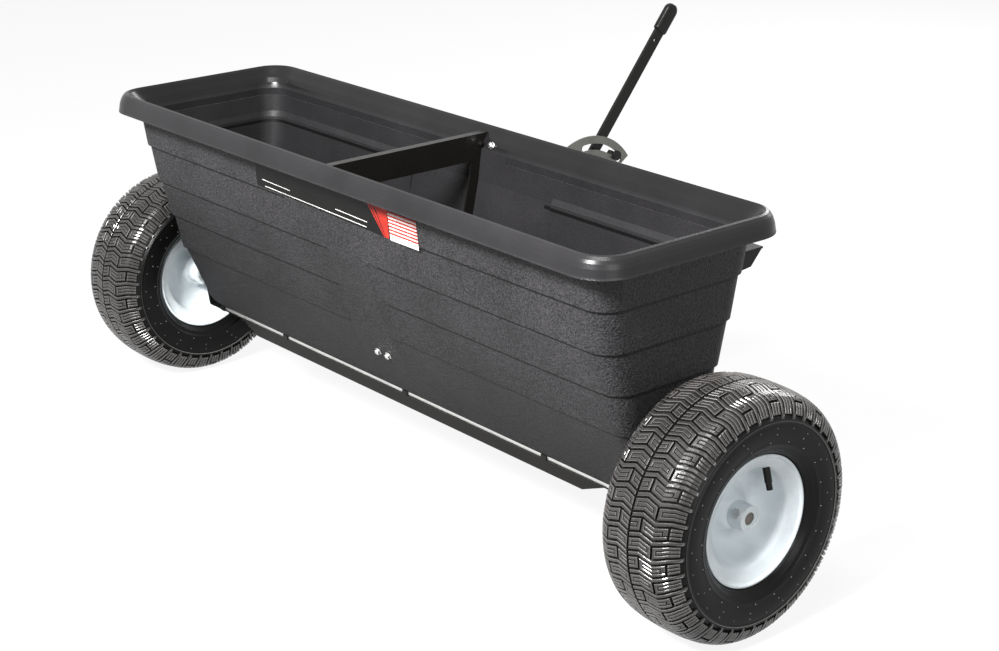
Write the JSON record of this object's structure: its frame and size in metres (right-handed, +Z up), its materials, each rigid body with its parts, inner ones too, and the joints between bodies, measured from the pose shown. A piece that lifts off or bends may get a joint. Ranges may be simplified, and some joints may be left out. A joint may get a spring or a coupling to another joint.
{
  "type": "tow-behind drop spreader",
  "caption": "Trough-shaped moulded hopper on a through axle with turf tyres, slide gate, flow lever with gauge plate, tongue, pin hitch and fold-up parking stand.",
  "frame": {"origin": "on the floor, below the middle of the whole machine", "axes": "+X along the axle towards the driven wheel, +Y forward to the hitch, +Z up"},
  "size_m": [1.562, 0.9614, 0.7696],
  "materials": {
    "moulded_poly": "fine pebble grain outside, smooth semi-gloss rim",
    "black_steel": "black gloss paint on formed sheet",
    "zinc_plate": "dull grey-green zinc plating",
    "galvanised": "bright galvanised strip",
    "bright_zinc": "bright zinc-plated steel",
    "rim_paint": "pale blue-grey gloss paint",
    "tyre_rubber": "black tyre rubber",
    "grip_rubber": "dipped black vinyl",
    "valve_rubber": "black rubber",
    "bush_plastic": "dark nylon"
  },
  "bodies": {
    "root": {"hopper": "moulded_poly", "middle_brace": "black_steel", "bottom_rail": "black_steel", "right_end_plate": "black_steel", "left_end_plate": "black_steel", "right_bush": "bush_plastic", "left_bush": "bush_plastic", "gauge_plate": "zinc_plate", "gauge_stop": "grip_rubber", "lever_pivot": "bright_zinc", "crank_bracket": "black_steel", "crank_pivot": "bright_zinc", "right_gusset": "black_steel", "left_gusset": "black_steel", "tongue": "black_steel", "tongue_foot": "black_steel", "tongue_strut": "black_steel", "right_tongue_brace": "black_steel", "left_tongue_brace": "black_steel", "hitch": "black_steel", "stand_bolt": "bright_zinc"},
    "right_wheel": {"axle": "bright_zinc", "right_hub": "rim_paint", "right_rim": "rim_paint", "right_tyre": "tyre_rubber", "right_valve": "valve_rubber", "drive_bolt": "bright_zinc", "right_collar": "bright_zinc", "left_collar": "bright_zinc", "right_agitator": "bright_zinc", "left_agitator": "bright_zinc", "axle_washer": "bright_zinc", "axle_cotter": "bright_zinc"},
    "left_wheel": {"left_hub": "rim_paint", "left_rim": "rim_paint", "left_tyre": "tyre_rubber", "left_valve": "valve_rubber"},
    "lever": {"lever": "black_steel", "lever_grip": "grip_rubber"},
    "rod": {"control_rod": "bright_zinc"},
    "crank": {"bellcrank": "zinc_plate"},
    "gate": {"gate": "galvanised"},
    "stand": {"stand_leg": "black_steel", "stand_foot": "black_steel"}
  },
  "joints": [
    {"name": "right_wheel_spin", "type": "hinge", "parent": "root", "child": "right_wheel", "pos_m": [0, -0.29025, 0.1905], "axis": [1, 0, 0], "continuous": true},
    {"name": "left_wheel_spin", "type": "hinge", "parent": "root", "child": "left_wheel", "pos_m": [-0.706, -0.29025, 0.1905], "axis": [1, 0, 0], "continuous": true},
    {"name": "lever_hinge", "type": "hinge", "parent": "root", "child": "lever", "pos_m": [0.145, -0.04825, 0.471], "axis": [1, 0, 0], "range_deg": [-12, 18]},
    {"name": "rod_hinge", "type": "hinge", "parent": "lever", "child": "rod", "pos_m": [0.131, -0.08819, 0.47309], "axis": [1, 0, 0], "range_deg": [-18.5, 12.5]},
    {"name": "crank_hinge", "type": "hinge", "parent": "root", "child": "crank", "pos_m": [0.181, -0.21825, 0.215], "axis": [0, 1, 0], "range_deg": [-14.6, 9.8]},
    {"name": "gate_slide", "type": "slide", "parent": "root", "child": "gate", "axis": [1, 0, 0], "range_m": [-0.0085, 0.0127]},
    {"name": "stand_hinge", "type": "hinge", "parent": "root", "child": "stand", "pos_m": [-0.031, 0.38975, 0.258], "axis": [1, 0, 0], "range_deg": [-84, 0]}
  ],
  "couplings": [
    {"joint": "rod_hinge", "follows": "lever_hinge", "ratio": -1},
    {"joint": "crank_hinge", "follows": "lever_hinge", "ratio": -0.8},
    {"joint": "gate_slide", "follows": "lever_hinge", "m_per_rad": 0.04}
  ]
}
